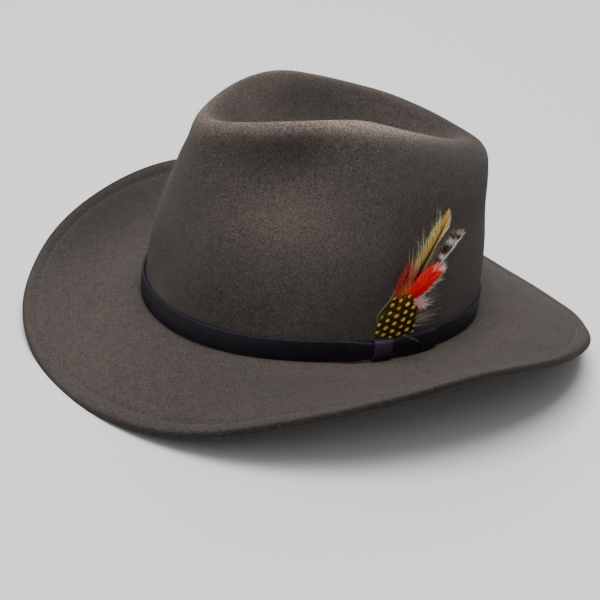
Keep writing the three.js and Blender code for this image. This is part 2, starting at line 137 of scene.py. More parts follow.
def smooth_line(xs, ys, x, first=None, last=None):
    """Smooth curve through knots. ys may hold one column for each value of x."""
    xs, ys = np.asarray(xs, float), np.asarray(ys, float)
    wide = np.diff(xs).reshape(-1, *([1] * (ys.ndim - 1)))
    slope = np.diff(ys, axis=0) / wide
    m = np.empty_like(ys)
    m[1:-1] = (slope[:-1] * wide[1:] + slope[1:] * wide[:-1]) / (wide[:-1] + wide[1:])
    m[0] = slope[0] if first is None else first
    m[-1] = slope[-1] if last is None else last
    x = np.clip(np.asarray(x, float), xs[0], xs[-1])
    i = np.clip(np.searchsorted(xs, x, side="right") - 1, 0, len(xs) - 2)
    h = xs[i + 1] - xs[i]
    u = (x - xs[i]) / h
    pick = (i,) if ys.ndim == 1 else (i, np.arange(ys.shape[1]))
    after = (i + 1,) if ys.ndim == 1 else (i + 1, np.arange(ys.shape[1]))
    return ((2 * u**3 - 3 * u**2 + 1) * ys[pick] + (u**3 - 2 * u**2 + u) * h * m[pick]
            + (3 * u**2 - 2 * u**3) * ys[after] + (u**3 - u**2) * h * m[after])


def around(columns, values, t):
    return smooth_line(columns, values, np.abs((np.asarray(t) + 180) % 360 - 180), 0, 0)


def ease_step(x):
    u = np.clip(x, 0, 1)
    return u * u * (3 - 2 * u)


def between(t, start, end, ease):
    return ease_step((t - start) / ease + 1) * ease_step((end - t) / ease + 1)


def break_height(t):
    return -BREAK_SWAY * np.cos(2 * np.radians(t))


def unit(v):
    return v / np.linalg.norm(v, axis=-1, keepdims=True)


def outward(t):
    a = np.radians(t)
    return unit(np.stack([HALF_LONG * np.sin(a), -HALF_WIDE * np.cos(a), 0 * a], -1))


def crown_table(t):
    """Reach and height of each row of the crown at angles t."""
    drop = 1 - around(CROWN_COLUMNS, RIDGE_LINE, t)
    reach = np.stack([around(CROWN_COLUMNS, row[2], t) for row in CROWN_ROWS])
    high = np.stack([
        CROWN_HIGH * (row[0] - row[1] * drop) + break_height(t) * max(0, 1 - row[0] / CROWN_ROWS[3][0])
        for row in CROWN_ROWS])
    return reach, high


def crown_lines(t, rows):
    """Reach and height of the crown along smooth lines between the rows of the table."""
    reach, high = crown_table(t)
    order = np.arange(len(CROWN_ROWS))
    every = [np.full(t.shape, float(row)) for row in rows]
    return (np.stack([smooth_line(order, reach, row) for row in every]),
            np.stack([smooth_line(order, high, row, None, 0 * t) for row in every]))


def crown_place(t, reach, high):
    a = np.radians(t)
    return np.stack([HALF_WIDE * reach * np.sin(a), -HALF_LONG * reach * np.cos(a), high], -1)


def brim_point(t, share):
    a = np.radians(t)
    uneven = SIDE_RISE * np.sin(a) + TWIST_RISE * np.sin(2 * a)
    rise = around(BRIM_COLUMNS, BRIM_RISE, t) + uneven
    wide = BRIM_REACH * around(BRIM_COLUMNS, BRIM_WIDE, t)
    foot = np.stack([HALF_WIDE * np.sin(a), -HALF_LONG * np.cos(a), break_height(t)], -1)
    foot = foot + outward(t) * (np.sqrt(1 - rise**2) * wide * share)[:, None]
    foot[:, 2] += rise * wide * abs(share) ** BRIM_BOW
    return foot


def brim_normal(t, share):
    e = 0.01
    across = brim_point(t + e, share) - brim_point(t - e, share)
    out = brim_point(t, share + e) - brim_point(t, share - e)
    return unit(np.cross(across, -out))


def tipping(pitch, roll):
    return np.array(Matrix.Rotation(pitch, 3, "X") @ Matrix.Rotation(roll, 3, "Y"))


def find_pose():
    """The hat tips until the front and the back of its brim both touch the floor."""
    t = np.arange(0, 360, 0.5)
    share = 1 - FOOT_IN * EDGE_TURN / BRIM_REACH
    feet = brim_point(t, share) - brim_normal(t, share) * FOOT_DOWN * EDGE_THICK

    def touching(pitch, roll):
        p = feet @ tipping(pitch, roll).T
        front = np.argmin(np.where(p[:, 1] < 0, p[:, 2], np.inf))
        back = np.argmin(np.where(p[:, 1] > 0, p[:, 2], np.inf))
        return p[front], p[back]

    halvings, pitch_steps = 16, 5
    low, high, pitch = math.radians(-MOST_ROLL), math.radians(MOST_ROLL), 0.0
    for _ in range(halvings):
        roll = (low + high) / 2
        front, back = touching(pitch, roll)
        for _ in range(pitch_steps):
            pitch -= math.atan2(back[2] - front[2], back[1] - front[1])
            front, back = touching(pitch, roll)
        if (front[0] * back[1] - back[0] * front[1]) / (back[1] - front[1]) > 0:
            high = roll
        else:
            low = roll
    turn = tipping(pitch, roll)
    edge = np.concatenate([
        brim_point(t, 1 - inward / BRIM_REACH) - brim_normal(t, 1 - inward / BRIM_REACH) * down
        for inward, down in EDGE_LINE]) @ turn.T
    middle = (edge.min(0) + edge.max(0)) / 2
    return turn, np.array([middle[0], middle[1], min(front[2], back[2]) + REST_FLAT])


TURN, SHIFT = find_pose()


def settle(p):
    return np.asarray(p, float) @ TURN.T - SHIFT


def wall_point(t, high, off):
    """Points on the foot of the crown, that high over the brim break and that far off the felt."""
    t = np.atleast_1d(np.asarray(t, float))
    reach, highs = crown_lines(t, np.linspace(0, 4, 81))
    highs = highs - break_height(t)
    high = np.broadcast_to(high, t.shape)
    above = np.clip((highs < high).sum(0), 1, len(highs) - 1)
    n = np.arange(len(t))
    step = (high - highs[above - 1, n]) / (highs[above, n] - highs[above - 1, n])
    here = reach[above - 1, n] + (reach[above, n] - reach[above - 1, n]) * np.clip(step, 0, 1)
    return crown_place(t, here, high + break_height(t)) + outward(t) * np.reshape(off, (-1, 1))


# Mesh helpers


def add_sheet(bm, place, tint=None, slit=False, wrap=False):
    """A grid whose points go where place says. slit leaves every second strip out, wrap joins the ends."""
    rows, columns = place.shape[:2]
    layer = bm.verts.layers.float_color.get("tint") or bm.verts.layers.float_color.new("tint")
    made = bmesh.ops.create_grid(bm, x_segments=rows - 1, y_segments=columns - 1, size=1)["verts"]
    xy = np.array([v.co[:2] for v in made])
    i = np.rint((xy[:, 0] + 1) / 2 * (rows - 1)).astype(int)
    j = np.rint((xy[:, 1] + 1) / 2 * (columns - 1)).astype(int)
    if slit:
        number = {v: n for v, n in zip(made, i)}
        faces = {f for v in made for f in v.link_faces}
        gaps = [f for f in faces if min(number[v] for v in f.verts) % 2]
        bmesh.ops.delete(bm, geom=gaps, context="FACES_ONLY")
        loose = {e for v in made for e in v.link_edges if not e.link_faces}
        bmesh.ops.delete(bm, geom=list(loose), context="EDGES")
    spots = place[i, j] * MM
    for v, p in zip(made, spots):
        v.co = p
    if tint is not None:
        for v, c in zip(made, tint[i, j]):
            v[layer] = (*c, 1)
    if wrap:
        bmesh.ops.remove_doubles(bm, verts=made, dist=1e-6)


def new_object(name, bm, material):
    mesh = bpy.data.meshes.new(name)
    bm.to_mesh(mesh)
    bm.free()
    mesh.materials.append(material)
    made = bpy.data.objects.new(name, mesh)
    bpy.context.scene.collection.objects.link(made)
    return made


def make_piece(name, bm, material, node):
    """A smooth shaded object that stands for a node of the frame."""
    piece = new_object(name, bm, material)
    for face in piece.data.polygons:
        face.use_smooth = True
    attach(piece, "root")
    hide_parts(node)
    return piece


# Materials


def colour(r, g, b):
    """Linear colour from the 0 to 255 that the eye sees."""
    return tuple(((c / 255 + 0.055) / 1.055) ** 2.4 if c > 10 else c / 255 / 12.92 for c in (r, g, b))


def colours(*tones):
    return np.array([colour(*tone) for tone in tones])


def colour_between(x, shares, tones):
    """Colours at x, on straight lines between the tones at shares."""
    return np.stack([np.interp(x, shares, tones[:, c]) for c in range(3)], -1)


def new_material(name, **settings):
    mat = bpy.data.materials.new(name)
    mat.use_nodes = True
    shader = mat.node_tree.nodes["Principled BSDF"]
    for key, value in settings.items():
        shader.inputs[key.replace("_", " ")].default_value = value
    return mat, mat.node_tree, shader


def add_node(tree, kind, links=(), **values):
    """A node with its properties and inputs set. links are (input, socket) pairs."""
    node = tree.nodes.new(kind)
    for key, value in values.items():
        if hasattr(node, key):
            setattr(node, key, value)
        else:
            node.inputs[key.replace("_", " ")].default_value = value
    for key, socket in links:
        tree.links.new(socket, node.inputs[key])
    return node


def feed(tree, socket, value):
    """Links an output to an input, or sets the input's own number or colour."""
    if isinstance(value, bpy.types.NodeSocket):
        tree.links.new(value, socket)
    else:
        socket.default_value = (*value, 1) if isinstance(value, tuple) else value


def mix_colour(tree, factor, a, b):
    node = tree.nodes.new("ShaderNodeMix")
    node.data_type = "RGBA"
    for index, value in ((0, factor), (6, a), (7, b)):
        feed(tree, node.inputs[index], value)
    return node.outputs[2]


def value_range(tree, value, low, high, to_low=0.0, to_high=1.0):
    node = add_node(tree, "ShaderNodeMapRange", [("Value", value)], interpolation_type="SMOOTHSTEP")
    for index, number in ((1, low), (2, high), (3, to_low), (4, to_high)):
        node.inputs[index].default_value = number
    return node.outputs[0]


def maths(tree, operation, a, b=0.0):
    node = tree.nodes.new("ShaderNodeMath")
    node.operation = operation
    feed(tree, node.inputs[0], a)
    feed(tree, node.inputs[1], b)
    return node.outputs[0]


def object_place(tree):
    return tree.nodes.new("ShaderNodeTexCoord").outputs["Object"]


def tint_colour(tree):
    return add_node(tree, "ShaderNodeAttribute", attribute_name="tint").outputs["Color"]


def noise_at(tree, where, scale, detail):
    noise = add_node(tree, "ShaderNodeTexNoise", [("Vector", where)], Scale=scale, Detail=detail)
    return noise.outputs["Fac"]


def add_bump(tree, shader, height, strength, distance):
    bump = add_node(tree, "ShaderNodeBump", [("Height", height)], Strength=strength, Distance=distance)
    tree.links.new(bump.outputs["Normal"], shader.inputs["Normal"])


def fibre_group():
    """Tangled fibres: thin curling lines at two sizes, with a soft mottle."""
    group = bpy.data.node_groups.new("tangled fibres", "ShaderNodeTree")
    for name, low in (("Size", 1000.0), ("Tangle", 1.5)):
        socket = group.interface.new_socket(name, in_out="INPUT", socket_type="NodeSocketFloat")
        socket.default_value = low
    for name in ("Fibres", "Mottle"):
        group.interface.new_socket(name, in_out="OUTPUT", socket_type="NodeSocketFloat")
    start = group.nodes.new("NodeGroupInput")
    end = group.nodes.new("NodeGroupOutput")
    where = object_place(group)
    lines = []
    for share, sharp in ((1.0, 9.0), (0.47, 12.0)):
        size = maths(group, "MULTIPLY", start.outputs["Size"], share)
        noise = add_node(group, "ShaderNodeTexNoise", [
            ("Vector", where), ("Scale", size), ("Distortion", start.outputs["Tangle"])], Detail=2.5)
        off = maths(group, "ABSOLUTE", maths(group, "SUBTRACT", noise.outputs["Fac"], 0.5))
        beside = maths(group, "MINIMUM", maths(group, "MULTIPLY", off, sharp), 1.0)
        lines.append(maths(group, "SUBTRACT", 1.0, beside))
    both = maths(group, "MAXIMUM", lines[0], lines[1])
    group.links.new(both, end.inputs["Fibres"])
    soft = add_node(group, "ShaderNodeTexNoise", [
        ("Vector", where), ("Scale", maths(group, "MULTIPLY", start.outputs["Size"], 0.12))], Detail=3.0)
    group.links.new(soft.outputs["Fac"], end.inputs["Mottle"])
    return group


FIBRES = fibre_group()


def place_fibres(tree, size, tangle):
    node = tree.nodes.new("ShaderNodeGroup")
    node.node_tree = FIBRES
    node.inputs["Size"].default_value = size
    node.inputs["Tangle"].default_value = tangle
    return node.outputs


def felt_material():
    """Mottled wool. The tint's red is a painted highlight and its green is painted shade."""
    mat, tree, shader = new_material(
        "wool felt", Roughness=0.96, Sheen_Weight=0.12, Sheen_Roughness=0.35,
        Sheen_Tint=(0.75, 0.68, 0.62, 1), Specular_IOR_Level=0.2)
    fibres = place_fibres(tree, 1500.0, 1.6)
    where = object_place(tree)
    broad = noise_at(tree, where, 22.0, 3.0)
    combed = add_node(tree, "ShaderNodeMapping", [("Vector", where)], Scale=(1.0, 1.0, 1.7)).outputs["Vector"]
    fine = noise_at(tree, combed, 820.0, 3.0)
    tint = tint_colour(tree)
    parts = add_node(tree, "ShaderNodeSeparateColor", [("Color", tint)]).outputs
    painted_light, painted_shade = parts["Red"], parts["Green"]
    body = mix_colour(tree, value_range(tree, broad, 0.35, 0.65), colour(56, 50, 47), colour(63, 57, 54))
    body = mix_colour(tree, value_range(tree, fibres["Mottle"], 0.3, 0.7, 0.0, 0.6), body, colour(44, 39, 37))
    body = mix_colour(tree, value_range(tree, fine, 0.36, 0.64, 0.0, 0.7), body, colour(34, 30, 28))
    hairs = value_range(tree, fibres["Fibres"], 0.5, 1.0, 0.0, 0.6)
    body = mix_colour(tree, hairs, body, colour(124, 114, 107))
    # Painted highlight, grainy like the felt, from the tint's red; then painted shade from its green.
    grain = value_range(tree, fine, 0.34, 0.66)
    highlight_tone = mix_colour(tree, grain, colour(206, 185, 171), colour(128, 113, 103))
    body = mix_colour(tree, maths(tree, "MULTIPLY", painted_light, 0.62), body, highlight_tone)
    body = mix_colour(tree, painted_shade, body, (0.0, 0.0, 0.0))
    tree.links.new(body, shader.inputs["Base Color"])
    height = maths(tree, "MULTIPLY", fibres["Fibres"], 0.5)
    height = maths(tree, "ADD", height, maths(tree, "MULTIPLY", fine, 0.7))
    height = maths(tree, "ADD", height, maths(tree, "MULTIPLY", fibres["Mottle"], 0.6))
    add_bump(tree, shader, height, 0.75, 0.0005)
    return mat


def leather_material(name, base, light, wear_and_highlight, coat):
    """Fine grained leather. The tint is the share of rubbed edge, which is rougher and takes a lighter colour
    that is partly wear and partly painted highlight.
    """
    mat, tree, shader = new_material(
        name, Roughness=0.6, Coat_Weight=coat, Coat_Roughness=0.45, Specular_IOR_Level=0.28)
    where = object_place(tree)
    cells = add_node(tree, "ShaderNodeTexVoronoi", [("Vector", where)], Scale=1400.0, feature="F1")
    broad = noise_at(tree, where, 160.0, 4.0)
    fine = noise_at(tree, where, 2600.0, 2.0)
    edge = tint_colour(tree)
    body = mix_colour(tree, value_range(tree, broad, 0.3, 0.7), base, light)
    pores = value_range(tree, cells.outputs["Distance"], 0.25, 0.6, 0.0, 0.35)
    body = mix_colour(tree, pores, body, colour(6, 5, 9))
    body = mix_colour(tree, maths(tree, "MULTIPLY", edge, 0.6), body, wear_and_highlight)
    tree.links.new(body, shader.inputs["Base Color"])
    rough = value_range(tree, broad, 0.3, 0.7, 0.52, 0.68)
    rough = maths(tree, "ADD", rough, maths(tree, "MULTIPLY", edge, 0.2))
    tree.links.new(rough, shader.inputs["Roughness"])
    height = maths(tree, "SUBTRACT", maths(tree, "MULTIPLY", fine, 0.4), cells.outputs["Distance"])
    add_bump(tree, shader, height, 0.5, 0.0002)
    return mat


def barb_material(name, roughness, sheen):
    mat, tree, shader = new_material(name, Roughness=roughness, Sheen_Weight=sheen, Specular_IOR_Level=0.12)
    where = object_place(tree)
    tint = tint_colour(tree)
    noise = noise_at(tree, where, 1800.0, 2.0)
    shade = mix_colour(tree, value_range(tree, noise, 0.3, 0.7, 0.0, 0.16), tint, (0.0, 0.0, 0.0))
    tree.links.new(shade, shader.inputs["Base Color"])
    add_bump(tree, shader, noise, 0.3, 0.0002)
    return mat


def thread_material():
    mat, tree, shader = new_material("edge thread", Roughness=0.8, Sheen_Weight=0.2)
    where = object_place(tree)
    noise = noise_at(tree, where, 2500.0, 2.0)
    body = mix_colour(tree, value_range(tree, noise, 0.3, 0.7), colour(50, 44, 40), colour(84, 76, 70))
    tree.links.new(body, shader.inputs["Base Color"])
    add_bump(tree, shader, noise, 0.5, 0.0002)
    return mat


def fuzz_material():
    mat, tree, shader = new_material("loose wool", Roughness=0.9, Sheen_Weight=0.2)
    shade = tint_colour(tree)
    body = mix_colour(tree, shade, colour(46, 40, 36), colour(124, 112, 102))
    tree.links.new(body, shader.inputs["Base Color"])
    return mat


felt_finish = felt_material()
fuzz_finish = fuzz_material()
band_leather = leather_material(
    "strap leather", base=colour(13, 8, 19), light=colour(19, 12, 27), wear_and_highlight=colour(34, 28, 46), coat=0.04)
keeper_leather = leather_material(
    "keeper leather", base=colour(11, 7, 16), light=colour(20, 14, 25), wear_and_highlight=colour(92, 78, 104), coat=0.06)
vane_finish = barb_material("feather vane", 0.5, 0.0)
down_finish = barb_material("feather down", 0.7, 0.05)
thread_finish = thread_material()


# Felt body


def soften(field, spread):
    """Evens out the small steps of the tables round the crown."""
    n = field.shape[1]
    k = np.fft.fftfreq(n, 1 / n)
    keep = np.exp(-0.5 * (k * math.radians(spread)) ** 2)
    return np.real(np.fft.ifft(np.fft.fft(field, axis=1) * keep, axis=1))


def surface_normals(skin):
    across = np.roll(skin, -1, 1) - np.roll(skin, 1, 1)
    out = np.gradient(skin, axis=0)
    n = np.cross(across, -out)
    size = np.linalg.norm(n, axis=-1, keepdims=True)
    n = n / np.maximum(size, 1e-9)
    n[0] = (0, 0, 1)
    return n


def felt_waves(p):
    """The slight unevenness of steamed felt."""
    rng = np.random.default_rng(4)
    count, shortest, longest, tall = 14, 28, 90, 0.075
    total = np.zeros(p.shape[:-1])
    for _ in range(count):
        way = rng.normal(size=3)
        way /= np.linalg.norm(way)
        total += np.sin(p @ way * 2 * math.pi / rng.uniform(shortest, longest) + rng.uniform(0, 6.28)) * tall
    return total


def felt_skin():
    """Rings of the outside. Each has its measure: the row on the crown, the share of the brim below 0."""
    t = np.arange(FELT_COLUMNS) * 360 / FELT_COLUMNS
    rows = np.concatenate([
        np.linspace(TOP_ROW, 1, CROWN_RINGS), np.linspace(1, FOLD_ROW, FOOT_RINGS)[1:]])
    reach, high = (soften(field, 4.5) for field in crown_lines(t, rows))
    rings = [crown_place(t, r, h) for r, h in zip(reach, high)]
    wall, corner, start = rings[-1], brim_point(t, 0.0), brim_point(t, FOLD_SHARE)
    for u in FOLD_STEPS:
        rings.append(wall * (1 - u) ** 2 + corner * 2 * u * (1 - u) + start * u**2)
    last = 1 - EDGE_LINE[0][0] * 1.05 / BRIM_REACH
    shares = np.linspace(FOLD_SHARE, last, BRIM_RINGS)[1:]
    rings += [brim_point(t, share) for share in shares]
    measure = np.concatenate([rows, np.zeros(len(FOLD_STEPS)), -shares])
    return t, np.stack(rings), measure


def spot(t, measure, at, wide, high, tall, both):
    """A soft patch of felt round an angle and a measure, on both sides of the hat or on one."""
    turn = (t + 180) % 360 - 180
    turn = np.abs(turn) if both else turn
    return np.exp(-((turn - at) / wide) ** 2 - ((measure[:, None] - high) / tall) ** 2)


def painted_light_and_shade(t, measure):
    """Painted highlight, mostly along the ridge, and painted shade in patches on the crown and the brim."""
    left = soften((t < 180)[None, :] * 1.0, 9)
    # Painted highlight along the ridge, stronger on the wearer's left.
    painted_light = 1.15 * spot(t, measure, 74, 50, 6.85, 0.62, True) * (0.3 + 0.7 * left)
    painted_shade = np.zeros_like(painted_light)
    for field, spots in ((painted_light, PAINTED_LIGHT_SPOTS), (painted_shade, PAINTED_SHADE_SPOTS)):
        for strength, *place in spots:
            field += strength * spot(t, measure, *place)
    return np.clip(np.stack([painted_light, painted_shade, 0 * painted_light], -1), 0, 1)


def felt_rings():
    """Rings of the whole felt and their tint: the outside, the turned edge, then every second one inside."""
    t, skin, measure = felt_skin()
    normals = surface_normals(skin)
    wave = felt_waves(skin)[..., None]
    wave = wave * ease_step((np.arange(len(skin)) - 2) / 12)[:, None, None]
    upper = skin + normals * wave
    under = skin + normals * (wave - FELT)
    edge = []
    for inward, down in EDGE_LINE:
        share = 1 - inward / BRIM_REACH
        n = brim_normal(t, share)
        p = brim_point(t, share)
        edge.append(p + n * (felt_waves(p)[:, None] - down))
    inside = under[::-2]
    rings = np.concatenate([upper, np.stack(edge), inside])
    tint = painted_light_and_shade(t, measure)
    # The turned edge takes the tint of the last outer ring, with painted shadow on its outer face.
    rim = np.repeat(tint[-1:], len(edge), 0)
    step = np.arange(len(edge))
    dark_from, dark_to, fade, dark = 11.5, 19, 3, 0.62
    shade = ease_step((step - dark_from) / fade) * (1 - ease_step((step - dark_to) / fade))
    rim[..., 1] += dark * shade[:, None]
    tint = np.concatenate([tint, rim, 0 * inside])
    placed = settle(rings)
    placed[..., 2] = np.maximum(placed[..., 2], 0)
    return placed, tint


def felt_piece():
    rings, tint = (np.concatenate([field, field[:, :1]], 1) for field in felt_rings())
    bm = bmesh.new()
    add_sheet(bm, rings, tint, wrap=True)
    bmesh.ops.recalc_face_normals(bm, faces=bm.faces)
    make_piece("felt_hat", bm, felt_finish, "felt_body")


felt_piece()


def edge_stitches():
    """Short stitches lying in the groove of the turned edge."""
    rng = random.Random(9)
    bm = bmesh.new()
    groove, share = VALLEY[1], 1 - VALLEY[0] / BRIM_REACH
    fine = np.arange(0, 360, 0.1)
    line = brim_point(fine, share)
    run = np.concatenate([[0], np.cumsum(np.linalg.norm(np.diff(line, axis=0), axis=1))])
    count = round(run[-1] / STITCH_STEP)
    for k in range(count):
        t = np.interp((k + 0.5) * run[-1] / count, run, fine)
        here, ahead = np.array([t]), np.array([t + 0.4])
        n = brim_normal(here, share)[0]
        p = brim_point(here, share)[0] - n * (groove - STITCH_OVER)
        way = brim_point(ahead, share)[0] - brim_point(here, share)[0]
        way /= np.linalg.norm(way)
        side = np.cross(n, way)
        p, n, way, side = settle(p) * MM, TURN @ n, TURN @ way, TURN @ side
        if p[2] < STITCH_CLEAR * MM:
            continue
        frame_here = Matrix.Identity(4)
        tilt = rng.uniform(-0.12, 0.12)
        long, cross = way + side * tilt, side - way * tilt
        for column, axis in enumerate((long, cross, n)):
            frame_here.col[column][:3] = axis
        size = Matrix.Diagonal((*(half * MM for half in STITCH_HALF), 1))
        bmesh.ops.create_uvsphere(
            bm, u_segments=6, v_segments=5, radius=1,
            matrix=Matrix.Translation(Vector(p)) @ frame_here @ size @ Matrix.Rotation(math.pi / 2, 4, "Y"))
    make_piece("edge_stitches", bm, thread_finish, "felt_body")


edge_stitches()


# A loose fibre: shares of its length along and out, and its half width.
FIBRE_LINE = ((0, -0.1, 0.045), (0.4, 0.6, 0.04), (0.75, 0.9, 0.03), (1.0, 1.0, 0.008))


def felt_fuzz():
    """Loose wool fibres that stand off the felt, more of them along the ridge and the brim's edge."""
    rng = np.random.default_rng(12)
    rings, tint = felt_rings()
    rows, columns = rings.shape[:2]
    skin_rings = CROWN_RINGS + FOOT_RINGS + len(FOLD_STEPS) + BRIM_RINGS - 2
    top_rings, rim_rings, under_rings = 4, 14, 8
    outside = skin_rings + len(EDGE_LINE) - under_rings
    count = 26000
    weight = np.full(rows, 1.0)
    weight[:top_rings] = 0
    weight[outside:] = 0
    radius = np.linalg.norm(rings[:, 0, :2] - rings[0, 0, :2], axis=1)
    pitch = np.linalg.norm(np.gradient(rings[:, 0], axis=0), axis=1)
    weight *= (0.3 + radius) * (0.05 + pitch)
    weight[outside - rim_rings:outside] *= 2.2
    # More fibres where the felt has its painted highlight.
    painted_light_column = FELT_COLUMNS // 6
    weight *= 1 + 1.2 * tint[:, painted_light_column, 0]
    i = rng.choice(rows - 1, count, p=weight[:-1] / weight[:-1].sum())
    j = rng.integers(0, columns, count)
    a, b = rng.random((2, count, 1))
    after, along = rings[i + 1, j], rings[i, (j + 1) % columns]
    foot = rings[i, j] + (after - rings[i, j]) * a + (along - rings[i, j]) * b
    out = np.cross(along - rings[i, j], rings[i, j] - after)
    out = unit(out)
    lie = unit(np.cross(out, rng.normal(size=(count, 3))))
    side = np.cross(out, lie)
    long = rng.uniform(0.5, 1.5, (count, 1))
    stand = rng.uniform(0.12, 0.55, (count, 1))
    place = np.zeros((count, 2, len(FIBRE_LINE), 3))
    for k, (forth, up, half) in enumerate(FIBRE_LINE):
        middle = foot + lie * long * forth + out * long * stand * up + side * long * 0.18 * forth**2
        place[:, 0, k], place[:, 1, k] = middle - side * half, middle + side * half
    place[..., 2] = np.maximum(place[..., 2], 0)
    shade = rng.uniform(0.4, 1.0, (count, 1, 1, 1)) * np.ones_like(place[:1])
    bm = bmesh.new()
    strip = (2 * count, len(FIBRE_LINE), 3)
    add_sheet(bm, place.reshape(strip), shade.reshape(strip), slit=True)
    make_piece("felt_fuzz", bm, fuzz_finish, "felt_body")


felt_fuzz()


# Strap and keeper


def band_inner(t):
    behind = max(KEEPER_THICK, TONGUE_THICK) + FIT_GAP
    return FIT_GAP + behind * between(t, KEEPER_START, PLUME_END, EASE)


def rounded_section(steps):
    """Corner sides and directions round a soft rectangle: upper or lower, outer or inner, lift, depth."""
    section = []
    for up, out, start in ((1, 1, 0), (1, 0, 90), (0, 0, 180), (0, 1, 270)):
        for k in range(steps + 1):
            a = math.radians(start + 90 * k / steps)
            section.append((up, out, math.sin(a), math.cos(a)))
    return section + section[:1]


def strap_piece():
    """One strap: it starts under the keeper, runs round the crown and laps over its own start."""
    start, lap, end = KEEPER_START + 1.5, 360 + KEEPER_START - EASE, 360 + TAIL_END
    tip_long = 1.2
    round_tip = end - tip_long * np.cos(np.linspace(0, math.pi / 2, 9))[1:]
    t = np.concatenate([np.linspace(start, end - tip_long, 520), round_tip])
    turn = t % 360
    over = ease_step((t - lap) / (EASE - 1.0)) * (BAND_THICK + LAP_GAP)
    near = between(turn, KEEPER_START, KEEPER_END, EASE / 2)
    sway = 0.1 * np.sin(t * 0.17)
    tip = np.clip((end - t) / tip_long, 0, 1)
    pinch = 1.6 * (1 - np.sqrt(np.clip(1 - (1 - tip) ** 2, 0, 1)))
    foot = BAND_LIFT + SQUEEZE * near + sway + pinch
    top = BAND_LIFT + BAND_HIGH - SQUEEZE * near + sway - pinch
    base = band_inner(turn) + over + 0.06 + 0.06 * np.sin(t * 0.21)
    soft = 0.42
    section = rounded_section(3)
    place, tint = np.zeros((2, len(t), len(section), 3))
    for k, (up, out, lift, depth) in enumerate(section):
        high = np.where(up == 1, top - soft, foot + soft) + lift * soft
        off = base + (BAND_THICK - soft if out else soft) + depth * soft
        place[:, k] = wall_point(turn, high, off)
        # Rounded edges take the lighter edge colour, partly wear and partly painted highlight, more along the
        # top.
        tint[:, k] = (0.9 if up else 0.6) * (abs(lift) > 0.4)
    bm = bmesh.new()
    add_sheet(bm, settle(place), tint, wrap=True)
    bmesh.ops.holes_fill(bm, edges=[e for e in bm.edges if e.is_boundary], sides=0)
    bmesh.ops.recalc_face_normals(bm, faces=bm.faces)
    make_piece("hat_strap", bm, band_leather, "hat_band")


strap_piece()


def keeper_piece():
    """The loop round strap and lap, with a painted highlight along its top and lighter on its sides."""
    t = np.linspace(KEEPER_START + 0.3, KEEPER_END - 0.3, 13)
    soft, squash, steps, snug = 0.9, 0.4, 5, FIT_GAP * 0.6
    foot = BAND_LIFT + SQUEEZE - snug
    top = BAND_LIFT + BAND_HIGH - SQUEEZE + snug
    inner = band_inner(t) - snug
    outer = band_inner(t) + BAND_THICK * 2 + LAP_GAP + snug
    section = rounded_section(steps)
    place, tint = np.zeros((2, len(section), len(t), 3))
    for k, (up, out, lift, depth) in enumerate(section):
        high = np.full(t.shape, (top - soft * squash) if up else (foot + soft * squash))
        high = high + lift * soft * squash
        off = (outer - soft * squash if out else inner + soft * squash) + depth * soft * squash
        bulge = 0.25 * np.sin(math.pi * np.arange(len(t)) / (len(t) - 1)) if out else 0
        place[k] = wall_point(t, high, off + bulge)
        # Painted highlight along the top outer edge; the two ends a little lighter.
        tint[k] = 0.55 * (up * out)
        tint[k, 0] = tint[k, -1] = 0.4
    bm = bmesh.new()
    add_sheet(bm, settle(place), tint, wrap=True)
    bmesh.ops.recalc_face_normals(bm, faces=bm.faces)
    piece = make_piece("strap_keeper", bm, keeper_leather, "band_keeper")
    wall = piece.modifiers.new("leather", "SOLIDIFY")
    wall.thickness, wall.offset = KEEPER_THICK * MM, 1
    soften_edge = piece.modifiers.new("worn edge", "BEVEL")
    soften_edge.width, soften_edge.segments, soften_edge.limit_method = 0.00022, 2, "ANGLE"


keeper_piece()


# Feathers


def plume_frame():
    """The point of the felt behind the strap's top edge where the feathers come out, and its directions."""
    origin = wall_point(PLUME_AT, BAND_LIFT + BAND_HIGH, 0)[0]
    away = outward(np.array([PLUME_AT]))[0]
    return origin, np.array([-away[1], away[0], 0]), np.array([0, 0, 1]), away


PLUME_ORIGIN, PLUME_BACK, PLUME_UP, PLUME_AWAY = plume_frame()


def plume_place(p):
    """From along, up and out, in millimetres, to the hat."""
    p = np.asarray(p, float)
    return settle(PLUME_ORIGIN + p[..., :1] * PLUME_BACK + p[..., 1:2] * PLUME_UP + p[..., 2:3] * PLUME_AWAY)


def through(points):
    """A smooth curve through points, by its share of length."""
    points = np.array(points, float)
    run = np.concatenate([[0], np.cumsum(np.linalg.norm(np.diff(points, axis=0), axis=1))])

    def curve(x):
        return smooth_line(run / run[-1], points, np.full(points.shape[1], x))
    return curve


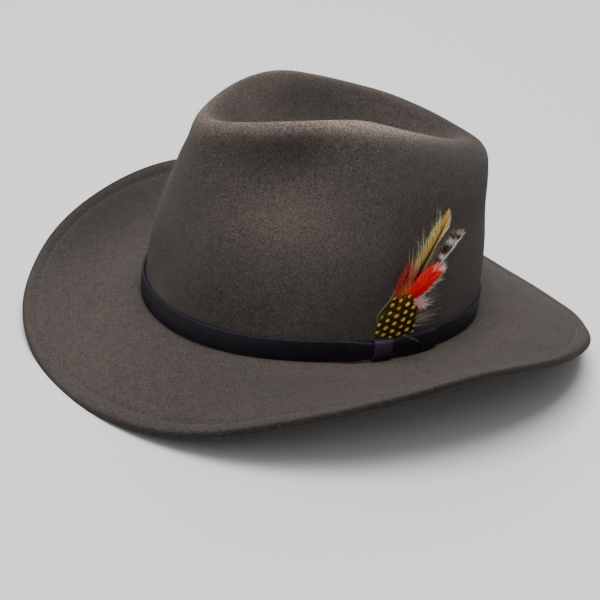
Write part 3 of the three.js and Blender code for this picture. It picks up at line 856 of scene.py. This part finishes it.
def add_barbs(bm, shaft, edge, count, tint, rng, wide=0.3, start=0.0, end=1.0, fray=0.04, lift=0.2,
              lean=0.45, steps=7, taper=0.8, puff=0.0):
    """Barbs from the shaft to an edge line: thin tapering strips, each two rows of the slit sheet.

    fray moves the ends along and across, lift lets them leave the vane and puff rounds them outwards."""
    shaft, edge = through(shaft), through(edge)
    place, tints = np.zeros((2, 2 * count, steps + 1, 3))
    s = np.linspace(0, 1, steps + 1)[:, None]
    for b in range(count):
        x = min(max((b + rng.uniform(-0.4, 0.4)) / max(count - 1, 1), 0.0), 1.0)
        at = start + (end - start) * x
        foot = shaft(at)
        along = shaft(min(at + 0.03, 1.0)) - shaft(at - 0.03)
        along /= np.linalg.norm(along)
        tip = edge(min(max(x + rng.gauss(0, fray), 0.0), 1.0))
        span = tip - foot
        span = span * (1 + rng.gauss(0, fray) * 2)
        long = np.linalg.norm(span)
        out = np.array([rng.gauss(0, 0.4), rng.gauss(0, 0.4), 1.0])
        knee = foot + span * 0.42 + along * long * lean * 0.3
        path = foot * (1 - s) ** 2 + knee * 2 * s * (1 - s) + (foot + span) * s**2
        path = path + np.array([0, 0, 1.0]) * (rng.gauss(0, lift) * s + puff * long * s * (1 - s))
        off = np.linalg.norm(np.cross(path - foot, along), axis=1)
        way = np.gradient(path, axis=0)
        across = np.cross(way, out)
        across /= np.maximum(np.linalg.norm(across, axis=1, keepdims=True), 1e-6)
        half = wide * 0.5 * (1 - taper * s**1.5)
        place[2 * b], place[2 * b + 1] = path - across * half, path + across * half
        tints[2 * b] = tints[2 * b + 1] = tint(x, s[:, 0], path, off, rng)
    add_sheet(bm, plume_place(place), tints, slit=True)


def add_shaft(bm, shaft, start, end, root, tip, tint, lift=0.15):
    """A thin round shaft whose thickness goes from root to tip."""
    shaft = through(shaft)
    steps = 16
    ring = np.radians(np.arange(7) * 60)
    place = np.zeros((steps, len(ring), 3))
    for n, x in enumerate(np.linspace(start, end, steps)):
        thick = root + (tip - root) * n / (steps - 1)
        place[n] = shaft(x) + np.stack([np.cos(ring), 0 * ring, np.sin(ring)], -1) * thick + (0, 0, lift)
    add_sheet(bm, plume_place(place), np.broadcast_to(np.array(tint), place.shape), wrap=True)


def blend_tint(*stops, spread=0.2):
    """Colours along a barb from (share, colour) stops, a little lighter or darker on each barb."""
    shares = [stop[0] for stop in stops]
    tones = colours(*(stop[1] for stop in stops))

    def tint(x, s, path, off, rng):
        return colour_between(s, shares, tones) * (1 + rng.uniform(-spread, spread))
    return tint


def hackle_feather(bm, rng):
    """The long golden feather with a dark brown stripe and loose pale barbs on its left."""
    shaft = [
        (-1, 14, 1.6), (0.4, 32, 3.2), (4.6, 45.5, 4.4),
        (8.3, 56.5, 5.6), (11.3, 67.5, 6.6), (12.5, 75, 7.2)]
    left = [
        (-1.8, 41, 3.6), (-0.6, 49, 4.4), (1.7, 57.5, 5.4),
        (4.6, 66, 6.2), (8.2, 72.4, 6.8), (12.4, 77.4, 7.2)]
    right = [
        (6.6, 43, 4.2), (9.2, 53.5, 5.4), (12.2, 60.4, 6),
        (14.9, 65.6, 6.6), (15, 70.8, 7), (12.7, 77.4, 7.2)]
    wisps = [(-5, 42, 3.6), (-4.4, 49, 4.4), (-3, 56, 5.4), (0, 66, 6.2), (7.4, 76, 7)]
    dark, brown, gold = colours((26, 12, 2), (136, 88, 28), (255, 212, 104))
    cream, amber = colours((255, 252, 212), (240, 176, 84))

    def tint_for(side):
        def tint(x, s, path, off, rng):
            stripe = np.clip(1.7 - off / (1.9 - 1.45 * x), 0, 1)[:, None] * (1 - 0.5 * x) * (x < 0.9)
            edge = np.clip((s - 0.45) / 0.5, 0, 1)[:, None] * ((0.3 + 0.5 * x) if side < 0 else 0.85)
            streak = rng.random()
            body = brown + (gold - brown) * min(1.0, (0.3 if side < 0 else 0.85) + 0.8 * streak * (0.4 + x))
            body = body * (1 - edge) + cream * edge * (0.8 + 0.2 * streak)
            if x > 0.86:
                body = body * 0.3 + amber * 0.7
            if streak < (0.24 if side < 0 else 0.1):
                body = body * 0.4
            return body * (1 - stripe) + dark * stripe
        return tint

    add_barbs(bm, shaft, left, 240, tint_for(-1), rng, wide=0.3, start=0.2, end=0.93, fray=0.03, lift=0.3)
    add_barbs(bm, shaft, right, 230, tint_for(1), rng, wide=0.32, start=0.24, end=0.93, fray=0.015, lift=0.2)
    loose = blend_tint((0, (120, 88, 36)), (0.35, (206, 180, 120)), (1, (252, 244, 212)))
    add_barbs(bm, shaft, wisps, 64, loose, rng, wide=0.17, start=0.05, end=0.78, fray=0.12, lift=1.1,
              taper=0.9)
    olive = blend_tint((0, (84, 60, 20)), (1, (176, 146, 76)))
    low_right = [(6, 33, 3.4), (8.6, 42, 4), (10.6, 50, 5.2), (13.6, 57, 6)]
    add_barbs(bm, shaft, low_right, 40, olive, rng, wide=0.2, start=0.05, end=0.5, fray=0.05, lift=0.7)
    add_shaft(bm, shaft, 0.02, 0.93, 0.36, 0.12, colour(30, 14, 4), lift=0.25)


def barred_feather(bm, rng):
    """The feather with white, tan and brown bars behind the golden one, nearly all on the shaft's left."""
    shaft = [
        (4, 14, 1.2), (9.6, 32, 2.6), (15.4, 42, 4), (20.3, 50.2, 5), (24.2, 56, 5.4), (27.2, 60.6, 5.6)]
    left = [
        (14.6, 45, 3.6), (14.9, 50.6, 4.4), (16.6, 55.8, 5),
        (18.9, 60, 5.4), (21.6, 62.8, 5.6), (26.8, 62.8, 5.8)]
    right = [(17.2, 42.6, 4), (21.6, 49.6, 5), (25.2, 55.6, 5.4), (28, 59.6, 5.6), (28.2, 61.4, 5.6)]
    way = np.array([0.55, 0.835])
    foot = np.array([17.3, 45.0])
    bars = (0, 0.6, 2.4, 3.2, 9.4, 10, 13.2, 13.8, 16.6, 17.2)
    shades = "dark white white dark dark white white brown brown cream".split()
    paint = {"dark": (34, 21, 12), "white": (255, 253, 250), "cream": (226, 206, 172), "brown": (66, 37, 18)}
    steps = colours(*(paint[shade] for shade in shades))
    tan = np.array(colour(206, 160, 92))

    def tint(x, s, path, off, rng):
        along = (path[:, :2] - foot) @ way + rng.gauss(0, 0.6) + 0.3 * off
        body = colour_between(along, bars, steps)
        streak = rng.random()
        if streak < 0.3:
            body = body * 0.7 + tan * 0.3 * (1 - ease_step((off - 2.6) / 1.2))[:, None]
        elif streak > 0.88:
            body = body * 0.35
        return body * (1 + rng.uniform(-0.16, 0.16))

    add_barbs(bm, shaft, left, 170, tint, rng, wide=0.28, start=0.4, end=0.95, fray=0.05, lift=0.5)
    bright = blend_tint((0, (226, 214, 198)), (1, (250, 246, 240)))
    add_barbs(bm, shaft, right, 40, bright, rng, wide=0.18, start=0.5, end=0.97, fray=0.06, lift=0.3)
    hairs = blend_tint((0, (92, 70, 44)), (1, (206, 186, 150)), spread=0.25)
    add_barbs(bm, shaft, [(8, 36, 3), (11.6, 50, 4), (17.6, 62, 5)], 36, hairs, rng, wide=0.15,
              start=0.35, end=0.9, fray=0.08, lift=0.9)
    add_shaft(bm, shaft, 0.02, 1.0, 0.26, 0.14, colour(240, 232, 220))


def red_feathers(bm, rng):
    """The dull red feather behind with tan hairs, and the bright one in front with a pale end."""
    shaft = [(-8, 10, 1.4), (-7.6, 26, 3), (-5.6, 37, 4), (-3.6, 47, 4.6)]
    left = [(-12.8, 25, 2.6), (-11.4, 31, 3.4), (-9.4, 37.6, 4), (-7.4, 43.4, 4.4), (-5.4, 47, 4.6)]
    right = [(-3, 24, 3), (-1, 32, 3.6), (0.2, 38.4, 4), (0, 44.4, 4.4), (-2.4, 48.6, 4.6)]
    deep = blend_tint((0, (96, 2, 8)), (0.55, (184, 10, 22)), (1, (214, 46, 54)), spread=0.35)
    tan = blend_tint((0, (112, 52, 26)), (0.5, (196, 132, 90)), (1, (234, 200, 160)), spread=0.25)
    add_barbs(bm, shaft, left, 160, deep, rng, wide=0.32, end=0.78, fray=0.05, lift=0.6)
    add_barbs(bm, shaft, right, 120, deep, rng, wide=0.3, end=0.78, fray=0.06, lift=0.6)
    add_barbs(bm, shaft, right, 74, tan, rng, wide=0.2, end=0.8, fray=0.1, lift=1.2)
    add_barbs(bm, shaft, left, 24, tan, rng, wide=0.16, start=0.1, end=0.8, fray=0.1, lift=1.0)
    add_shaft(bm, shaft, 0.02, 0.9, 0.3, 0.1, colour(110, 20, 20))

    orange = blend_tint((0, (150, 46, 12)), (0.5, (226, 90, 30)), (1, (244, 150, 86)), spread=0.3)
    foot = [(-8, 16, 5), (-3.6, 22.6, 6)]
    fan = [(-12.4, 29, 6), (-9.6, 33.4, 6.2), (-6.4, 35, 6.4), (-4, 34, 6.4)]
    add_barbs(bm, foot, fan, 60, orange, rng, wide=0.22, fray=0.08, lift=0.7)

    shaft = [(-5, 14, 2.6), (-3.2, 22.4, 5), (1.6, 30.2, 6.6), (7, 36.2, 7), (12.6, 41, 7.2)]
    left = [
        (-5.6, 27, 5.6), (-4.4, 31.4, 6.2), (-1, 36.8, 6.8),
        (3.2, 41.6, 7.2), (8.2, 44.8, 7.4), (13.6, 45, 7.4)]
    right = [
        (2.4, 23.4, 5.4), (6.8, 26.6, 6.2), (11, 31, 6.8), (14, 35, 7), (16.4, 38.8, 7.2), (16.6, 43, 7.4)]
    middle = [(-2, 32, 7), (5, 38, 7.6), (10.6, 42, 7.6), (14, 40.6, 7.6), (13, 36, 7.4)]
    bright = blend_tint((0, (246, 0, 10)), (0.7, (255, 6, 16)), (1, (255, 70, 70)), spread=0.25)
    lower = blend_tint(
        (0, (216, 0, 8)), (0.7, (252, 4, 14)), (0.92, (255, 60, 62)), (1, (255, 190, 180)), spread=0.25)
    for edge, tint in ((left, bright), (right, lower)):
        add_barbs(bm, shaft, edge, 230, tint, rng, wide=0.42, start=0.1, end=0.84, fray=0.03, lift=0.45,
                  puff=0.1, lean=0.7)
    add_barbs(bm, shaft, middle, 90, bright, rng, wide=0.36, start=0.15, end=0.6, fray=0.05, lift=0.5,
              puff=0.14)
    pale = blend_tint((0, (255, 120, 104)), (0.4, (255, 206, 190)), (1, (255, 246, 238)), spread=0.1)
    ends = [(8.6, 44.6, 7.8), (12, 46.2, 7.8), (15.6, 45.4, 7.8), (17.6, 42, 7.8), (17.6, 38.4, 7.6)]
    add_barbs(bm, [(8, 39.6, 7.4), (14, 39.8, 7.4)], ends, 60, pale, rng, wide=0.22, fray=0.06, lift=0.6)
    under = [(6, 25, 6.4), (12.6, 30.4, 7), (18, 36.4, 7.4)]
    add_barbs(bm, [(1, 23.6, 6), (12, 35, 7)], under, 60, pale, rng, wide=0.15, fray=0.06, lift=0.7)
    add_shaft(bm, shaft, 0.02, 0.86, 0.28, 0.1, colour(170, 8, 12), lift=-0.2)


def fluff_and_wisps(bm, rng):
    """Pink and white down, dark tipped hairs, and grey wisps that reach along and over the strap."""
    pink = blend_tint(
        (0, (206, 92, 112)), (0.45, (238, 170, 184)), (0.8, (252, 226, 230)), (1, (255, 246, 246)),
        spread=0.1)
    fan = [
        (2.6, 26, 6.4), (6.8, 25.2, 6.8), (9.8, 22.6, 6.8), (10.8, 19.4, 6.4), (8.6, 17.4, 6), (5, 17.8, 6)]
    add_barbs(bm, [(-1.4, 19, 4), (3, 21.6, 5.6)], fan, 150, pink, rng, wide=0.24, fray=0.1, lift=1.0,
              puff=0.25)
    dark = blend_tint(
        (0, (110, 84, 50)), (0.6, (84, 62, 40)), (0.85, (132, 110, 84)), (1, (240, 226, 208)))
    far = [(12, 27.4, 6.6), (15, 26.4, 6.6), (15.6, 22.6, 6.4), (12.6, 19, 6)]
    add_barbs(bm, [(4, 19, 5.4), (8, 19, 6)], far, 60, dark, rng, wide=0.18, fray=0.1, lift=0.8)
    rust = blend_tint((0, (96, 50, 22)), (0.5, (158, 92, 48)), (1, (196, 140, 92)))
    low = [(6, 20, 5), (9.4, 18, 5), (9.8, 15.6, 4.6), (6, 13.4, 4)]
    add_barbs(bm, [(-1, 13, 3.4), (3, 16, 4)], low, 60, rust, rng, wide=0.2, fray=0.08, lift=0.7)
    grey = blend_tint((0, (116, 104, 74)), (0.5, (166, 158, 126)), (1, (222, 216, 194)))
    back = [(13.8, 4.8, 3.2), (16, 8, 3.4), (18.4, 10.6, 3.6), (14, 13, 4), (9, 13.4, 4)]
    add_barbs(bm, [(-4, 4, 3), (2, 9, 3.4)], back, 52, grey, rng, wide=0.14, fray=0.1, lift=0.8)
    over = [(4, -1.4, 5.5), (8.6, -3.6, 5.5), (6, 0.2, 5.4)]
    faint = blend_tint((0, (74, 68, 52)), (1, (168, 158, 134)))
    add_barbs(bm, [(-4, 1.4, 4.4), (1, 1.8, 4.8)], over, 10, faint, rng, wide=0.1, fray=0.12, lift=0.15)


def guinea_feather(bm, rng):
    """The spotted feather in front: round yellow spots in staggered rows on black and olive."""
    shaft = [(-3.4, -4, 1.7), (-3.6, 3, 3), (-4.4, 14, 5), (-6.2, 27.2, 6.4)]
    left = [
        (-18, 2.2, 1.9), (-19.2, 6.4, 2.6), (-18.4, 13.2, 3.6), (-16.2, 20.4, 4.8),
        (-13.4, 26.4, 5.8), (-9.6, 28.4, 6.2), (-6.4, 28.4, 6.4)]
    right = [
        (6.8, 1.4, 3), (6.4, 6, 3.8), (4.8, 15.2, 5), (3, 21.8, 5.8),
        (0.2, 26, 6.2), (-3, 27.8, 6.4), (-6.2, 28.4, 6.4)]
    step, rows, columns = 4.95, 7, 6
    dots = []
    for row in range(rows):
        for column in range(columns):
            a = -18.1 + step * column + 0.25 * rng.uniform(-1, 1)
            u = -0.4 + step * row + (step / 2 if column % 2 else 0) + 0.25 * rng.uniform(-1, 1)
            size = (0.82 + 0.18 * min(1, (a + 19) / 8)) * rng.uniform(0.86, 1.1)
            dots.append((a, u - 0.05 * (a + 6), size))
    dots = np.array(dots)
    ground, olive, yellow, pale = colours((12, 7, 2), (92, 66, 10), (252, 206, 46), (255, 248, 178))
    rounds = ((ground, 1.62, 0.22), (ground, 1.3, 0.2), (yellow, 1.02, 0.22), (pale, 0.3, 0.6))

    def tint(x, s, path, off, rng):
        apart = path[:, None, :2] - dots[None, :, :2]
        lean = apart[..., 0] * 0.55 - apart[..., 1] * 0.83
        tall = apart[..., 0] * 0.83 + apart[..., 1] * 0.55
        near = (np.sqrt((tall / 1.32) ** 2 + (lean / 1.12) ** 2) / dots[None, :, 2]).min(1)[:, None]
        body = olive * 0.55 * (0.6 + 0.8 * rng.random())
        for shade, reach, fade in rounds:
            cover = 1 - ease_step((near - reach) / fade)
            body = body * (1 - cover) + shade * cover
        return body

    for edge, count, steps in ((left, 250, 30), (right, 230, 24)):
        add_barbs(bm, shaft, edge, count, tint, rng, wide=0.36, start=0.06, fray=0.008, lift=0.08,
                  steps=steps, taper=0.5, lean=0.3)
    edge_hairs = blend_tint((0, (70, 54, 14)), (1, (150, 128, 60)))
    outer = [(-18.8, 1.6, 2), (-20, 7, 2.8), (-19, 14.4, 3.8), (-16.6, 22, 5), (-13, 28.4, 6)]
    add_barbs(bm, shaft, outer, 46, edge_hairs, rng, wide=0.13, start=0.06, fray=0.04, lift=0.4)
    add_shaft(bm, shaft, 0.0, 0.97, 0.22, 0.08, colour(52, 38, 12), lift=0.05)


def curved_quill(bm, rng):
    """One bare pale quill that curves round the left of the spotted feather, and the bound foot."""
    shaft = [
        (-11, 29.6, 3.4), (-13.8, 23.8, 3), (-17.2, 19.4, 2.6), (-19.5, 15.4, 2.3),
        (-19.3, 12, 2), (-16.4, 8, 1.7), (-12, 5, 1.5)]
    add_shaft(bm, shaft, 0.0, 1.0, 0.1, 0.17, colour(150, 134, 122))
    hairs = blend_tint((0, (150, 134, 122)), (1, (170, 156, 144)))
    outer = [(-12.6, 33, 3.6), (-16.6, 26, 3.2), (-20.4, 20, 2.6)]
    add_barbs(bm, shaft, outer, 12, hairs, rng, wide=0.1, end=0.5, fray=0.1, lift=0.3)
    ring = [(-1, 0.4), (1, 0.4), (1, 1.15), (-1, 1.15), (-1, 0.4)]
    foot = ((3.4, -9), (4.2, -2), (3.4, 3), (2.6, 4.2))
    tongue = [[(side * half, up, out) for side, out in ring] for half, up in foot]
    add_sheet(bm, plume_place(tongue), np.broadcast_to(np.array(colour(48, 38, 30)), (4, 5, 3)), wrap=True)


# Each piece of the bunch: its name, the seed of its random draws, its finish and what grows it.
for name, seed, finish, grow in (
        ("hackle_feather", 21, vane_finish, hackle_feather),
        ("barred_feather", 22, vane_finish, barred_feather),
        ("red_feathers", 23, down_finish, red_feathers),
        ("fluff_and_wisps", 24, down_finish, fluff_and_wisps),
        ("guinea_feather", 25, vane_finish, guinea_feather),
        ("curved_quill", 26, vane_finish, curved_quill)):
    bm = bmesh.new()
    grow(bm, random.Random(seed))
    make_piece(name, bm, finish, "feather_plume")


# Floor, light and camera


# Name, place, size and watts of each light, in metres, and the point that they face.
LIGHTS = (
    ("back", (-1.25, 0.85, 1.25), 1.1, 15),
    ("top", (0.1, -0.25, 1.9), 1.3, 48),
    ("front", (0.87, -0.85, 1.3), 1.0, 5),
)
LIGHT_AIM = (0, 0, 0.07)

# The camera fitted to the photograph: degrees round, up and rolled, millimetres away, then in pixels its
# focal length, the side of the square picture and the shift of its middle.
CAMERA_ROUND, CAMERA_UP, CAMERA_ROLL, CAMERA_FAR = 53.2, 26.0, 8.8, 1000.0
FOCAL_PIXELS, PICTURE_PIXELS, SHIFT_PIXELS, SENSOR = 1690, 600, (-12.74, -10.37), 36


def studio():
    bm = bmesh.new()
    bmesh.ops.create_grid(bm, x_segments=1, y_segments=1, size=6)
    mat, _, _ = new_material("pale floor", Roughness=0.9, Base_Color=(0.8, 0.8, 0.8, 1))
    floor = new_object("floor", bm, mat)

    world = bpy.data.worlds.new("studio")
    world.use_nodes = True
    sky = world.node_tree.nodes["Background"].inputs
    sky["Color"].default_value, sky["Strength"].default_value = (1, 1, 1, 1), 0.27
    bpy.context.scene.world = world
    for name, place, size, power in LIGHTS:
        light = bpy.data.lights.new(name, "AREA")
        light.size, light.energy = size, power
        lamp = bpy.data.objects.new(name, light)
        lamp.location = place
        lamp.rotation_mode = "QUATERNION"
        lamp.rotation_quaternion = (Vector(LIGHT_AIM) - Vector(place)).to_track_quat("-Z", "Y")
        bpy.context.scene.collection.objects.link(lamp)


def photo_camera():
    azimuth, elevation, roll = (math.radians(turn) for turn in (CAMERA_ROUND, CAMERA_UP, CAMERA_ROLL))
    flat = math.cos(elevation)
    back = np.array([math.sin(azimuth) * flat, -math.cos(azimuth) * flat, math.sin(elevation)])
    right = np.array([math.cos(azimuth), math.sin(azimuth), 0])
    up = np.cross(back, right)
    right, up = math.cos(roll) * right + math.sin(roll) * up, -math.sin(roll) * right + math.cos(roll) * up
    data = bpy.data.cameras.new("camera")
    data.sensor_width, data.lens = SENSOR, FOCAL_PIXELS / PICTURE_PIXELS * SENSOR
    data.shift_x, data.shift_y = (shift / PICTURE_PIXELS for shift in SHIFT_PIXELS)
    data.clip_start, data.clip_end = 0.05, 20
    camera = bpy.data.objects.new("camera", data)
    turned = Matrix([TURN @ right, TURN @ up, TURN @ back]).transposed().to_4x4()
    camera.matrix_world = Matrix.Translation(Vector(settle(back * CAMERA_FAR) * MM)) @ turned
    bpy.context.scene.collection.objects.link(camera)
    bpy.context.scene.camera = camera


studio()
photo_camera()

bpy.context.view_layer.update()
